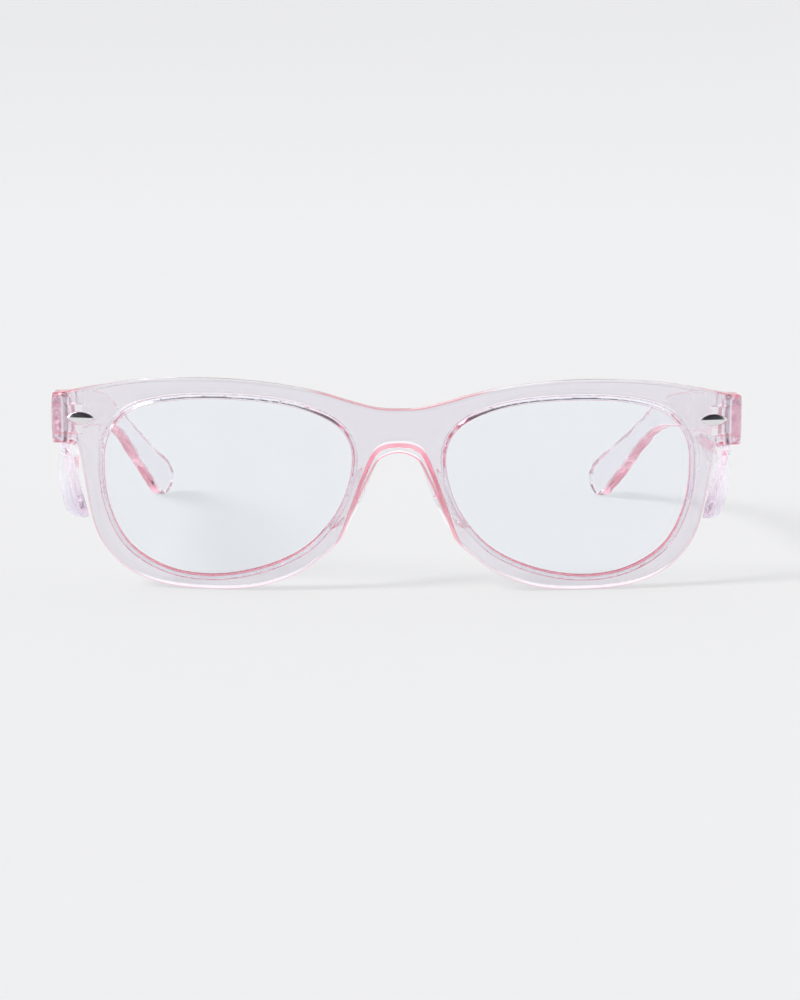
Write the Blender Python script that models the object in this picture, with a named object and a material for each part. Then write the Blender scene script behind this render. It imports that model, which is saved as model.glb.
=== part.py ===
"""Blue light glasses: a clear pink moulded frame with folding temples and side shields.

Metres, +Z up. The front faces -Y and the open temples run back along +Y. Right and left are
the wearer's, so the right side is at -X. The origin is in the middle of the surface that the
open glasses stand on, on the rims' lowest points and the two temple tips.
"""
import math

import bmesh
import bpy
from mathutils import Matrix, Vector
from mathutils.geometry import delaunay_2d_cdt

# Front frame: its outer face is a gentle upright cylinder, y = FRONT_Y + x^2 / (2 * FRONT_RADIUS)
FRONT_Y = -0.07725
FRONT_RADIUS = 0.300
FRONT_THICKNESS = 0.0045
EDGE_ROUND = 0.0005
GAP = 0.0003

# Lens groove, measured back from the front's outer face
LIP_DEPTH = 0.0011
GROOVE_END = 0.0035
GROOVE_REACH = 0.0014
LENS_FRONT = LIP_DEPTH + GAP
LENS_BACK = GROOVE_END - GAP
LENS_REACH = GROOVE_REACH - GAP
REAR_CHAMFER = 0.0007
CUT_MARGIN = 0.0020
OPENING_CUT_END = 0.0140

# Hinge: one upright screw through two lugs on the front and a tongue on the temple
HINGE_X = 0.0714
HINGE_BACK = 0.0142
HINGE_Y = FRONT_Y + HINGE_BACK
LUG_RADIUS = 0.0023
LUG_BOTTOM = 0.0306
LUG_TOP = 0.0415
LUG_ROOT = 0.0040
SLOT_BOTTOM = 0.0325
SLOT_TOP = 0.0389
SLOT_DEPTH = 0.0028
SLOT_INNER_X = 0.0676
TONGUE_RADIUS = 0.0022
TONGUE_INSET = 0.0006
SCREW_RADIUS = 0.0007
SCREW_HEAD_RADIUS = 0.00115
SCREW_HEAD_HEIGHT = 0.0009
HEAD_SEAT = 0.0402
DRIVER_SLOT_WIDTH = 0.0004
DRIVER_SLOT_DEPTH = 0.0004

# Temples, measured back from FRONT_Y: flat and straight to TEMPLE_STRAIGHT, then bowed in
OUTER_X = 0.0744
TEMPLE_THICKNESS = 0.0040
TEMPLE_START = HINGE_BACK + LUG_RADIUS + GAP
TEMPLE_STRAIGHT = 0.062
TEMPLE_BOW = 1.73
TEMPLE_THINNING = 0.25
TEMPLE_THIN_LENGTH = 0.060

# Side shields
SHIELD_THICKNESS = 0.0022
SHIELD_TOP = 0.0302
SHIELD_BOTTOM = 0.0135
SHIELD_X = 0.0735
SHIELD_BULGE = 0.0015
SHIELD_FRONT_X = 0.0733
SHIELD_FRONT_LEAN = 0.0045
SHIELD_FRONT = 0.0138
SHIELD_BLEND = 0.0150
RAIL_INSET = 0.0005

# Rivet caps on the front's corners
RIVET_X = 0.0682
RIVET_Z = 0.0363
RIVET_HALF_LENGTH = 0.00295
RIVET_HALF_HEIGHT = 0.00125
RIVET_PROUD = 0.00045
RIVET_SUNK = 0.0002
PEG_RADIUS = 0.0006
PEG_DEPTH = 0.0021

# Nose pads, moulded in one with the front
PAD_CENTRE = (0.0101, FRONT_Y + 0.0066, 0.0186)
PAD_HALF_SIZE = (0.0024, 0.0042, 0.0094)
PAD_LEAN = math.radians(22)
PAD_SPLAY = math.radians(-16)

# Outlines as (x, z): the front's from the middle of the bridge's top to the nose arch
FRONT_OUTLINE = [
    (0.0000, 0.0390), (0.0045, 0.0392), (0.0100, 0.0405), (0.0170, 0.0425), (0.0260, 0.0441),
    (0.0360, 0.0450), (0.0460, 0.0451), (0.0560, 0.0445), (0.0650, 0.0431), (0.0705, 0.0420),
    (0.0732, 0.0412), (0.0743, 0.0395), (0.0744, 0.0365), (0.0743, 0.0330), (0.0735, 0.0313),
    (0.0714, 0.0307), (0.0693, 0.0302), (0.0684, 0.0288), (0.0673, 0.0225), (0.0659, 0.0155),
    (0.0644, 0.0110), (0.0620, 0.0074), (0.0585, 0.0042), (0.0540, 0.0019), (0.0480, 0.0005),
    (0.0395, 0.0000), (0.0320, 0.0004), (0.0263, 0.0017), (0.0205, 0.0042), (0.0164, 0.0073),
]
ARCH_FRONT = [
    (0.0134, 0.0102), (0.0113, 0.0153), (0.0089, 0.0223), (0.0077, 0.0255), (0.0056, 0.0300),
    (0.0030, 0.0315), (0.0000, 0.0318),
]
ARCH_REAR = [
    (0.0128, 0.0098), (0.0105, 0.0147), (0.0079, 0.0205), (0.0065, 0.0236), (0.0045, 0.0278),
    (0.0021, 0.0293), (0.0000, 0.0297),
]
OPENING = [
    (0.0630, 0.0255), (0.0620, 0.0326), (0.0570, 0.0381), (0.0474, 0.0405), (0.0350, 0.0408),
    (0.0230, 0.0395), (0.0142, 0.0361), (0.0104, 0.0312), (0.0104, 0.0245), (0.0134, 0.0167),
    (0.0195, 0.0095), (0.0285, 0.0050), (0.0390, 0.0030), (0.0490, 0.0042), (0.0573, 0.0090),
    (0.0617, 0.0168),
]
# Temple and shield side views as (distance back from FRONT_Y, z)
TEMPLE_OUTLINE = [
    (TEMPLE_START, 0.0414), (0.0340, 0.0401), (0.0600, 0.0376), (0.0870, 0.0342),
    (0.1010, 0.0314), (0.1110, 0.0277), (0.1210, 0.0229), (0.1350, 0.0165), (0.1470, 0.0108),
    (0.1530, 0.0076), (0.1545, 0.0040), (0.1520, 0.0008), (0.1480, 0.0000), (0.1435, 0.0024),
    (0.1350, 0.0080), (0.1250, 0.0143), (0.1160, 0.0193), (0.1070, 0.0227), (0.0940, 0.0252),
    (0.0600, 0.0283), (0.0340, 0.0299), (TEMPLE_START, 0.0310),
]
SHIELD_OUTLINE = [
    (0.0146, 0.0297), (0.0200, 0.0303), (0.0380, 0.0292), (0.0570, 0.0280), (0.0592, 0.0268),
    (0.0575, 0.0238), (0.0500, 0.0187), (0.0420, 0.0151), (0.0330, 0.0137), (0.0220, 0.0135),
    (0.0155, 0.0136), (0.0139, 0.0148), (0.0138, 0.0205), (0.0140, 0.0270),
]
RAIL_OUTLINE = [(0.0220, 0.0285), (0.0220, 0.0317), (0.0500, 0.0300), (0.0500, 0.0268)]

# Colour, roughness and metallic of each material
PINK_CLEAR = ("pink_clear_plastic", (0.93, 0.72, 0.77), 0.08, 0.0)
LENS_CLEAR = ("lens_clear", (0.86, 0.91, 0.96), 0.04, 0.0)
SHIELD_CLEAR = ("shield_clear", (0.86, 0.86, 0.93), 0.06, 0.0)
POLISHED_STEEL = ("polished_steel", (0.78, 0.78, 0.80), 0.15, 1.0)


def make_material(name, colour, roughness, metallic):
    material = bpy.data.materials.get(name) or bpy.data.materials.new(name)
    material.use_nodes = True
    shader = material.node_tree.nodes["Principled BSDF"]
    shader.inputs["Base Color"].default_value = (*colour, 1.0)
    shader.inputs["Roughness"].default_value = roughness
    shader.inputs["Metallic"].default_value = metallic
    return material


def smooth(points, steps, closed=True):
    """Points along a Catmull-Rom curve through the given ones, steps to each stretch."""
    count = len(points)
    curve = []
    for i in range(count if closed else count - 1):
        around = [i - 1, i, i + 1, i + 2]
        if closed:
            around = [k % count for k in around]
        else:
            around = [min(max(k, 0), count - 1) for k in around]
        a, b, c, d = (Vector(points[k]) for k in around)
        for step in range(steps):
            t = step / steps
            bend = (2 * a - 5 * b + 4 * c - d) * t * t + (3 * (b - c) + d - a) * t ** 3
            curve.append(b + ((c - a) * t + bend) / 2)
    return curve if closed else curve + [Vector(points[-1])]


def both_halves(half):
    """A closed outline from the half that starts and ends on x = 0."""
    return half + [Vector((-p.x, p.y)) for p in reversed(half[1:-1])]


def grow(outline, distance):
    """The outline moved outwards along its normals, or inwards where distance is negative."""
    count = len(outline)
    area = sum(outline[i - 1].cross(outline[i]) for i in range(count))
    turn = math.copysign(1.0, area)
    moved = []
    for i in range(count):
        along = (outline[(i + 1) % count] - outline[i - 1]).normalized()
        moved.append(outline[i] + Vector((along.y, -along.x)) * turn * distance)
    return moved


def inner_points(outline, spacing):
    """A grid of points over the outline's box, clear of the outline itself."""
    low_u = min(p.x for p in outline)
    low_v = min(p.y for p in outline)
    across = int((max(p.x for p in outline) - low_u) / spacing)
    up = int((max(p.y for p in outline) - low_v) / spacing)
    grid = [
        Vector((low_u + i * spacing, low_v + j * spacing))
        for i in range(1, across + 1) for j in range(1, up + 1)
    ]
    return [g for g in grid if min((g - p).length for p in outline) > 0.6 * spacing]


def plate(name, rings, place, spacing=None):
    """A closed solid whose edge runs through rings, each an outline at a depth.

    place turns an outline's two numbers and a depth into a point. With a spacing, the two
    faces get inner points, so that they follow a curved surface.
    """
    bm = bmesh.new()
    loops = [[bm.verts.new(place(p.x, p.y, depth)) for p in outline] for outline, depth in rings]
    count = len(loops[0])
    for near, far in zip(loops, loops[1:]):
        for i in range(count):
            j = (i + 1) % count
            bm.faces.new((near[i], near[j], far[j], far[i]))
    edges = [(i, (i + 1) % count) for i in range(count)]
    for (outline, depth), loop in ((rings[0], loops[0]), (rings[-1], loops[-1])):
        extra = inner_points(outline, spacing) if spacing else []
        points, _, triangles, sources, _, _ = delaunay_2d_cdt(outline + extra, edges, [], 1, 1e-7)
        verts = {}
        for triangle in triangles:
            for k in triangle:
                if k in verts:
                    continue
                source = sources[k][0] if sources[k] else count
                new = source >= count
                verts[k] = bm.verts.new(place(*points[k], depth)) if new else loop[source]
            bm.faces.new([verts[k] for k in triangle])
    bmesh.ops.recalc_face_normals(bm, faces=bm.faces[:])
    return add_object(name, bm)


def add_object(name, bm):
    mesh = bpy.data.meshes.new(name)
    bm.to_mesh(mesh)
    bm.free()
    obj = bpy.data.objects.new(name, mesh)
    bpy.context.scene.collection.objects.link(obj)
    return obj


def cylinder(name, centre, radius, bottom, top, segments=20):
    """An upright cylinder at centre (x, y), between two heights."""
    bm = bmesh.new()
    middle = Matrix.Translation((*centre, (bottom + top) / 2))
    bmesh.ops.create_cone(
        bm, cap_ends=True, segments=segments, radius1=radius, radius2=radius,
        depth=top - bottom, matrix=middle)
    return add_object(name, bm)


def box(name, low, high):
    bm = bmesh.new()
    size = [b - a for a, b in zip(low, high)]
    middle = [(a + b) / 2 for a, b in zip(low, high)]
    bmesh.ops.create_cube(bm, matrix=Matrix.Translation(middle) @ Matrix.Diagonal((*size, 1)))
    return add_object(name, bm)


def boolean(target, tool, operation):
    """Join the tool to the target or cut it away, and leave the tool as a hidden guide."""
    modifier = target.modifiers.new(tool.name, "BOOLEAN")
    modifier.operation = operation
    modifier.object = tool
    tool.hide_render = True
    tool.display_type = "WIRE"


def finish(obj, material, origin=None, parent=None):
    """Give the object its material and smooth shading, and its origin on its joint's axis."""
    obj.data.materials.append(make_material(*material))
    obj.data.shade_smooth()
    obj.data.set_sharp_from_angle(angle=math.radians(35))
    if origin:
        obj.data.transform(Matrix.Translation(-Vector(origin)))
        obj.location = origin
    if parent:
        obj.parent = parent
        obj.matrix_parent_inverse = Matrix.Translation(-Vector(parent.location))


def on_front(x, z, depth):
    """A point at a depth behind the front's outer face."""
    return Vector((x, FRONT_Y + x * x / (2 * FRONT_RADIUS) + depth, z))


def temple_place(side):
    """How a temple's side view and depth from its outer face become a point."""
    def place(back, z, depth):
        past = max(back - TEMPLE_STRAIGHT, 0.0)
        thin = 1 - TEMPLE_THINNING * min(past / TEMPLE_THIN_LENGTH, 1.0)
        outer = OUTER_X - TEMPLE_BOW * past * past
        return Vector((side * (outer - depth * thin), FRONT_Y + back, z))
    return place


def hinge_place(side):
    """How a plan seen from above, about the hinge's axis, and a height become a point."""
    def place(x, y, height):
        return Vector((side * (HINGE_X + x), HINGE_Y + y, height))
    return place


def shield_place(side):
    """A shield leans in to the rim at its front edge and bulges out behind it."""
    def place(back, z, depth):
        down = (SHIELD_TOP - z) / (SHIELD_TOP - SHIELD_BOTTOM)
        down = min(max(down, 0.0), 1.0)
        body = SHIELD_X + SHIELD_BULGE * math.sin(math.pi * down)
        front = SHIELD_FRONT_X - SHIELD_FRONT_LEAN * down
        along = min(max((back - SHIELD_FRONT) / SHIELD_BLEND, 0.0), 1.0)
        share = math.sin(math.pi / 2 * along)
        return Vector((side * (front + (body - front) * share - depth), FRONT_Y + back, z))
    return place


def arc(radius, start, end, steps=6):
    """Points on an arc about the origin, between two angles in degrees."""
    turns = (math.radians(start + (end - start) * step / steps) for step in range(steps + 1))
    return [Vector((math.cos(turn), math.sin(turn))) * radius for turn in turns]


def almond(half_length, half_height, count=24):
    """An oval outline with a point at each end, at the rivet's place."""
    outline = []
    for i in range(count):
        turn = 2 * math.pi * i / count
        rise = math.sin(turn) * math.sqrt(abs(math.sin(turn)))
        outline.append(Vector((math.cos(turn) * half_length, rise * half_height)))
    return outline


def lens_outline(side):
    outline = smooth(OPENING, 3)
    return outline if side > 0 else [Vector((-p.x, p.y)) for p in reversed(outline)]


def make_front():
    start = smooth(FRONT_OUTLINE + ARCH_FRONT, 2, closed=False)
    end = smooth(FRONT_OUTLINE + ARCH_REAR, 2, closed=False)
    face = both_halves(start)
    back = both_halves(end)
    rings = [
        (grow(face, -EDGE_ROUND), 0.0), (face, EDGE_ROUND),
        (back, FRONT_THICKNESS - EDGE_ROUND), (grow(back, -EDGE_ROUND), FRONT_THICKNESS),
    ]
    front = plate("front_frame", rings, on_front)
    for side, name in SIDES:
        boolean(front, lug_block(side, name), "UNION")
        boolean(front, nose_pad(side, name), "UNION")
    for side, name in SIDES:
        boolean(front, opening_cutter(side, name), "DIFFERENCE")
        boolean(front, slot_cutter(side, name), "DIFFERENCE")
        for cutter in screw_hole(side, name):
            boolean(front, cutter, "DIFFERENCE")
        for cutter in rivet_seat(side, name):
            boolean(front, cutter, "DIFFERENCE")
    finish(front, PINK_CLEAR)


def lug_block(side, name):
    """The corner block behind the front, rounded about the hinge on its inner side."""
    reach = OUTER_X - HINGE_X
    outline = [Vector((reach, -LUG_ROOT)), Vector((reach, LUG_RADIUS))]
    outline += arc(LUG_RADIUS, 90, 180)
    outline.append(Vector((-LUG_RADIUS, -LUG_ROOT)))
    rings = [
        (grow(outline, -EDGE_ROUND), LUG_BOTTOM), (outline, LUG_BOTTOM + EDGE_ROUND),
        (outline, LUG_TOP - EDGE_ROUND), (grow(outline, -EDGE_ROUND), LUG_TOP),
    ]
    return plate("lug_block_" + name, rings, hinge_place(side))


def nose_pad(side, name):
    """A long oval swelling on the nose side of the rim."""
    bm = bmesh.new()
    bmesh.ops.create_uvsphere(bm, u_segments=14, v_segments=10, radius=1.0)
    lean = Matrix.Rotation(-side * PAD_LEAN, 4, "Y")
    splay = Matrix.Rotation(side * PAD_SPLAY, 4, "Z")
    centre = Matrix.Translation((side * PAD_CENTRE[0], *PAD_CENTRE[1:]))
    bm.transform(centre @ splay @ lean @ Matrix.Diagonal((*PAD_HALF_SIZE, 1)))
    return add_object("nose_pad_" + name, bm)


def opening_cutter(side, name):
    """The lens opening with its groove, as a solid to cut away."""
    edge = lens_outline(side)
    groove = grow(edge, GROOVE_REACH)
    wide = grow(edge, REAR_CHAMFER)
    rings = [
        (edge, -CUT_MARGIN), (edge, LIP_DEPTH), (groove, LIP_DEPTH), (groove, GROOVE_END),
        (edge, GROOVE_END), (wide, FRONT_THICKNESS), (wide, OPENING_CUT_END),
    ]
    return plate("opening_cutter_" + name, rings, on_front)


def slot_cutter(side, name):
    """The slot between the lugs, open to the rear and to both sides."""
    xs = sorted((side * SLOT_INNER_X, side * (OUTER_X + CUT_MARGIN)))
    low = (xs[0], HINGE_Y - SLOT_DEPTH, SLOT_BOTTOM)
    high = (xs[1], HINGE_Y + LUG_RADIUS + CUT_MARGIN, SLOT_TOP)
    return box("slot_cutter_" + name, low, high)


def screw_hole(side, name):
    centre = (side * HINGE_X, HINGE_Y)
    above = LUG_TOP + CUT_MARGIN
    bore = cylinder(
        "bore_cutter_" + name, centre, SCREW_RADIUS + GAP, LUG_BOTTOM - CUT_MARGIN, above)
    seat = cylinder("seat_cutter_" + name, centre, SCREW_HEAD_RADIUS + GAP, HEAD_SEAT, above)
    return bore, seat


def rivet_seat(side, name):
    """A shallow pocket for the rivet's cap and a hole for its peg."""
    outline = [
        p + Vector((side * RIVET_X, RIVET_Z))
        for p in grow(almond(RIVET_HALF_LENGTH, RIVET_HALF_HEIGHT), GAP)
    ]
    pocket = plate(
        "pocket_cutter_" + name, [(outline, -CUT_MARGIN), (outline, RIVET_SUNK + GAP)], on_front)
    hole = peg("peg_cutter_" + name, side, PEG_RADIUS + GAP, 0.0, PEG_DEPTH + GAP)
    return pocket, hole


def peg(name, side, radius, start, end):
    """A round peg into the front at the rivet's place, between two depths."""
    outline = [
        Vector((side * RIVET_X + radius * math.cos(turn), RIVET_Z + radius * math.sin(turn)))
        for turn in (2 * math.pi * i / 16 for i in range(16))
    ]
    return plate(name, [(outline, start), (outline, end)], on_front)


def make_lens(side, name):
    outline = grow(lens_outline(side), LENS_REACH)
    bevel = 0.0003
    rings = [
        (grow(outline, -bevel), LENS_FRONT), (outline, LENS_FRONT + bevel),
        (outline, LENS_BACK - bevel), (grow(outline, -bevel), LENS_BACK),
    ]
    lens = plate("lens_" + name, rings, on_front, spacing=0.007)
    finish(lens, LENS_CLEAR)


def make_rivet(side, name):
    """A polished almond cap with a crowned top, on a round peg."""
    def at_place(outline):
        return [p + Vector((side * RIVET_X, RIVET_Z)) for p in outline]

    full = almond(RIVET_HALF_LENGTH, RIVET_HALF_HEIGHT)
    rings = []
    for share, depth in ((0.35, 1.0), (0.72, 0.8), (0.93, 0.35), (1.0, 0.0)):
        outline = almond(RIVET_HALF_LENGTH * share, RIVET_HALF_HEIGHT * share)
        rings.append((at_place(outline), -RIVET_PROUD * depth))
    rings.append((at_place(full), RIVET_SUNK))
    rivet = plate("rivet_" + name, rings, on_front)
    boolean(rivet, peg("rivet_peg_" + name, side, PEG_RADIUS, 0.0, PEG_DEPTH), "UNION")
    finish(rivet, POLISHED_STEEL)


def make_screw(side, name):
    """The hinge screw: a slotted head in the top lug and a shank down to the bottom one."""
    centre = (side * HINGE_X, HINGE_Y)
    head_top = HEAD_SEAT + GAP + SCREW_HEAD_HEIGHT
    screw = cylinder("hinge_screw_" + name, centre, SCREW_RADIUS, LUG_BOTTOM + GAP, head_top)
    head = cylinder("head_" + name, centre, SCREW_HEAD_RADIUS, HEAD_SEAT + GAP, head_top)
    boolean(screw, head, "UNION")
    half = DRIVER_SLOT_WIDTH / 2
    low = (centre[0] - half, centre[1] - CUT_MARGIN, head_top - DRIVER_SLOT_DEPTH)
    high = (centre[0] + half, centre[1] + CUT_MARGIN, head_top + DRIVER_SLOT_DEPTH)
    boolean(screw, box("driver_slot_" + name, low, high), "DIFFERENCE")
    finish(screw, POLISHED_STEEL)


def rail(name, side, clearance):
    """The rail on a shield's top edge, or with clearance the groove that it sits in."""
    outline = grow([Vector(p) for p in RAIL_OUTLINE], clearance)
    near = RAIL_INSET - clearance
    far = SHIELD_THICKNESS - RAIL_INSET + clearance
    return plate(name, [(outline, near), (outline, far)], shield_place(side))


def make_temple(side, name, hinge):
    outline = smooth(TEMPLE_OUTLINE, 2, closed=False)
    inset = grow(outline, -EDGE_ROUND)
    rings = [
        (inset, 0.0), (outline, EDGE_ROUND),
        (outline, TEMPLE_THICKNESS - EDGE_ROUND), (inset, TEMPLE_THICKNESS),
    ]
    temple = plate("temple_" + name, rings, temple_place(side), spacing=0.011)
    boolean(temple, tongue(side, name), "UNION")
    bore = cylinder(
        "tongue_bore_" + name, (side * HINGE_X, HINGE_Y), SCREW_RADIUS + GAP, LUG_BOTTOM, LUG_TOP)
    boolean(temple, bore, "DIFFERENCE")
    boolean(temple, rail("groove_cutter_" + name, side, GAP), "DIFFERENCE")
    finish(temple, PINK_CLEAR, hinge.location, hinge)


def tongue(side, name):
    """The temple's knuckle, round about the hinge and as thick as the temple behind it."""
    outer = OUTER_X - HINGE_X - TONGUE_INSET
    inner = OUTER_X - HINGE_X - TEMPLE_THICKNESS + TONGUE_INSET
    root = TEMPLE_START - HINGE_BACK + CUT_MARGIN
    outline = [Vector((outer, -TONGUE_RADIUS)), Vector((outer, root)), Vector((inner, root))]
    outline += arc(TONGUE_RADIUS, 105, 270)
    rings = [(outline, SLOT_BOTTOM + GAP), (outline, SLOT_TOP - GAP)]
    return plate("tongue_" + name, rings, hinge_place(side))


def make_shield(side, name, hinge):
    outline = smooth(SHIELD_OUTLINE, 2)
    inset = grow(outline, -EDGE_ROUND)
    rings = [
        (inset, 0.0), (outline, EDGE_ROUND),
        (outline, SHIELD_THICKNESS - EDGE_ROUND), (inset, SHIELD_THICKNESS),
    ]
    shield = plate("side_shield_" + name, rings, shield_place(side), spacing=0.0035)
    boolean(shield, rail("shield_rail_" + name, side, 0.0), "UNION")
    finish(shield, SHIELD_CLEAR, hinge.location, hinge)


def make_hinge_axis(side, name):
    """The empty that a temple and its shield turn about."""
    hinge = bpy.data.objects.new("hinge_axis_" + name, None)
    hinge.location = (side * HINGE_X, HINGE_Y, (SLOT_BOTTOM + SLOT_TOP) / 2)
    bpy.context.scene.collection.objects.link(hinge)
    return hinge


SIDES = ((-1, "right"), (1, "left"))


def main():
    for obj in list(bpy.data.objects):
        bpy.data.objects.remove(obj)
    make_front()
    for side, name in SIDES:
        make_lens(side, name)
        make_rivet(side, name)
        make_screw(side, name)
        hinge = make_hinge_axis(side, name)
        make_temple(side, name, hinge)
        make_shield(side, name, hinge)


main()
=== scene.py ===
"""Looks of the blue light glasses: fine surfaces, clear plastics, a pale studio and a camera.

Metres, +Z up. Right and left are the wearer's, so the right side is at -X. Each piece is a
field of signed distances, negative inside, from which one smooth closed mesh is taken.
"""
import math

import bmesh
import bpy
import numpy as np
from mathutils import Matrix, Vector


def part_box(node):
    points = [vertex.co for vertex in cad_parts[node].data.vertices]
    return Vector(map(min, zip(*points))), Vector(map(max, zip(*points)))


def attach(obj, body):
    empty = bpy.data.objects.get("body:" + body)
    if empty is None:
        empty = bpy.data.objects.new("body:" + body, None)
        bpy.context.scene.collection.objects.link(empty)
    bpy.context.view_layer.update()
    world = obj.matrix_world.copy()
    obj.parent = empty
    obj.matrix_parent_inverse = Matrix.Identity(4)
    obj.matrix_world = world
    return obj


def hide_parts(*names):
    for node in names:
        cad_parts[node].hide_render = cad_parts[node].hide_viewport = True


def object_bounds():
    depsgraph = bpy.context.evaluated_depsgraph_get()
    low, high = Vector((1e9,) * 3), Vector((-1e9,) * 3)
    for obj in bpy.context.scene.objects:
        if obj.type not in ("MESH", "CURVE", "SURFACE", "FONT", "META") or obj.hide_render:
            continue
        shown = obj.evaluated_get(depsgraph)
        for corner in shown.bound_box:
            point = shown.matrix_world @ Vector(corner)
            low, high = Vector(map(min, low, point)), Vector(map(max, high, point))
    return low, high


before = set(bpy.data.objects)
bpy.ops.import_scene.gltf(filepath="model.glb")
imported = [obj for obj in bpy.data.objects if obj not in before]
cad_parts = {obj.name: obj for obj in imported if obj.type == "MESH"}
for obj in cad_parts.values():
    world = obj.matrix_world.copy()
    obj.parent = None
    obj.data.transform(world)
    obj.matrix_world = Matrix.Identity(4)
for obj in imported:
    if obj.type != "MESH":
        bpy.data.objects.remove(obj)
cad_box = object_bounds()

SIDES = ((-1, "right"), (1, "left"))

# Front frame: its outer face is a gentle upright cylinder, y = FRONT_Y + x^2 / (2 * FRONT_RADIUS)
FRONT_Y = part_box("front_frame")[0].y
FRONT_RADIUS = 0.300
FRONT_THICKNESS = 0.0045
FRONT_EDGE = 0.0006
OUTER_X = 0.0744

# Lens groove and lens, measured back from the front's outer face and out from the opening
LIP_DEPTH = 0.0011
GROOVE_END = 0.0035
GROOVE_REACH = 0.00115
LIP_EDGE = 0.00030
LENS_FRONT = 0.0012
LENS_BACK = 0.0034
LENS_REACH = 0.00105
LENS_EDGE = 0.0001

# The openings' back edge: a chamfer all round, and beyond a share of it a bevel as well,
# which grows from nothing over a stretch of x and a stretch of z
REAR_CHAMFER = 0.0007
REAR_BEVEL = 0.0012
REAR_BEVEL_START = 0.45
BEVEL_FROM_X = 0.014
BEVEL_OVER_X = 0.014
BEVEL_FROM_Z = 0.005
BEVEL_OVER_Z = 0.012

# Hinge: the lugs and slot at each corner of the front, the temple's tongue, and the screw
HINGE_X = 0.0714
HINGE_BACK = 0.0142
LUG_RADIUS = 0.0023
LUG_BOTTOM = 0.0306
LUG_TOP = 0.0415
LUG_ROOT = 0.0040
LUG_EDGE = 0.0005
LUG_FILLET = 0.0005
SLOT_BOTTOM = 0.0325
SLOT_TOP = 0.0389
SLOT_DEPTH = 0.0028
SLOT_INNER_X = 0.0676
TONGUE_RADIUS = 0.0022
TONGUE_GAP = 0.0002
TONGUE_END = 0.0190
TONGUE_EDGE = 0.0002
TONGUE_FILLET = 0.0002
BORE_RADIUS = 0.0009
BORE_PAST = 0.0010
SCREW_RADIUS = 0.0007
SCREW_HEAD_RADIUS = 0.00115
SCREW_TOP = 0.0414
SCREW_SHANK_TOP = 0.0412
SCREW_HEAD_SEAT = 0.0405
SCREW_BOTTOM = 0.0309
SCREW_SHANK_EDGE = 0.00015
SCREW_HEAD_EDGE = 0.00018
SCREW_FILLET = 0.0001
SEAT_RADIUS = 0.00135
SEAT_BOTTOM = 0.0403
DRIVER_SLOT = 0.0004
THREAD_PITCH = 0.00035
THREAD_DEPTH = 0.00006
THREAD_TOP = 0.0330

# Temples, measured back from FRONT_Y: flat and straight to TEMPLE_STRAIGHT, then bowed in
TEMPLE_THICKNESS = 0.0040
TEMPLE_EDGE = 0.0008
TEMPLE_START = 0.0168
TEMPLE_STRAIGHT = 0.062
TEMPLE_BOW = 1.73
TEMPLE_THINNING = 0.25
TEMPLE_THIN_LENGTH = 0.060

# Side shields
SHIELD_THICKNESS = 0.0022
SHIELD_EDGE = 0.0006
SHIELD_TOP = 0.0302
SHIELD_BOTTOM = 0.0135
SHIELD_X = 0.0735
SHIELD_BULGE = 0.0015
SHIELD_FRONT_X = 0.0733
SHIELD_FRONT_LEAN = 0.0045
SHIELD_FRONT = 0.0138
SHIELD_BLEND = 0.0150
RAIL_INSET = 0.0005
RAIL_GAP = 0.0002
RAIL_EDGE = 0.0002
RAIL_FILLET = 0.0002
RAIL_START = 0.0220
RAIL_END = 0.0500
RAIL_BOTTOM = 0.0268
RAIL_TOP = 0.0317
RAIL_FALL = 0.0607

# Rivet caps on the front's corners: the crown falls from its crest to the cap's long edges,
# and the taper narrows and lowers it towards the points
RIVET_X = 0.0682
RIVET_Z = 0.0363
RIVET_HALF_LENGTH = 0.00295
RIVET_HALF_HEIGHT = 0.00125
RIVET_PROUD = 0.00045
RIVET_CREST = 1.04
RIVET_FALL = 0.84
RIVET_CREST_WIDTH = 0.05
RIVET_TAPER = 0.75
RIVET_TAPER_LEAST = 0.001
RIVET_EDGE = 0.00006
RIVET_SUNK = 0.0002
RIVET_POCKET = 0.0005
PEG_RADIUS = 0.0006
PEG_DEPTH = 0.0021
PEG_GAP = 0.0003
RIVET_GAP = 0.00015

# Nose pads, moulded in one with the front; the crown is the power that shapes their curves
PAD_Z = 0.0187
PAD_HALF_LENGTH = 0.0102
PAD_REACH = 0.0058
PAD_WIDTH = 0.0042
PAD_ROOT = 0.0012
PAD_LEAN = 0.22
PAD_CROWN = 1.5
PAD_EDGE = 0.0009
PAD_X_END = 0.0200

# Outlines as (x, z): the front's from the middle of the bridge's top to the nose arch
FRONT_OUTLINE = [
    (0.0000, 0.0390), (0.0045, 0.0392), (0.0100, 0.0405), (0.0170, 0.0425), (0.0260, 0.0441),
    (0.0360, 0.0450), (0.0460, 0.0451), (0.0560, 0.0445), (0.0650, 0.0431), (0.0705, 0.0420),
    (0.0732, 0.0412), (0.0743, 0.0395), (0.0744, 0.0365), (0.0743, 0.0330), (0.0735, 0.0313),
    (0.0714, 0.0307), (0.0693, 0.0302), (0.0684, 0.0288), (0.0673, 0.0225), (0.0659, 0.0155),
    (0.0644, 0.0110), (0.0620, 0.0074), (0.0585, 0.0042), (0.0540, 0.0019), (0.0480, 0.0005),
    (0.0395, 0.0000), (0.0320, 0.0004), (0.0263, 0.0017), (0.0205, 0.0042), (0.0164, 0.0073),
]
ARCH_FRONT = [
    (0.0134, 0.0102), (0.0113, 0.0153), (0.0089, 0.0223), (0.0077, 0.0256), (0.0057, 0.0302),
    (0.0031, 0.0319), (0.0000, 0.0322),
]
ARCH_REAR = [
    (0.0128, 0.0098), (0.0105, 0.0147), (0.0079, 0.0205), (0.0064, 0.0236), (0.0044, 0.0273),
    (0.0021, 0.0288), (0.0000, 0.0292),
]
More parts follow.
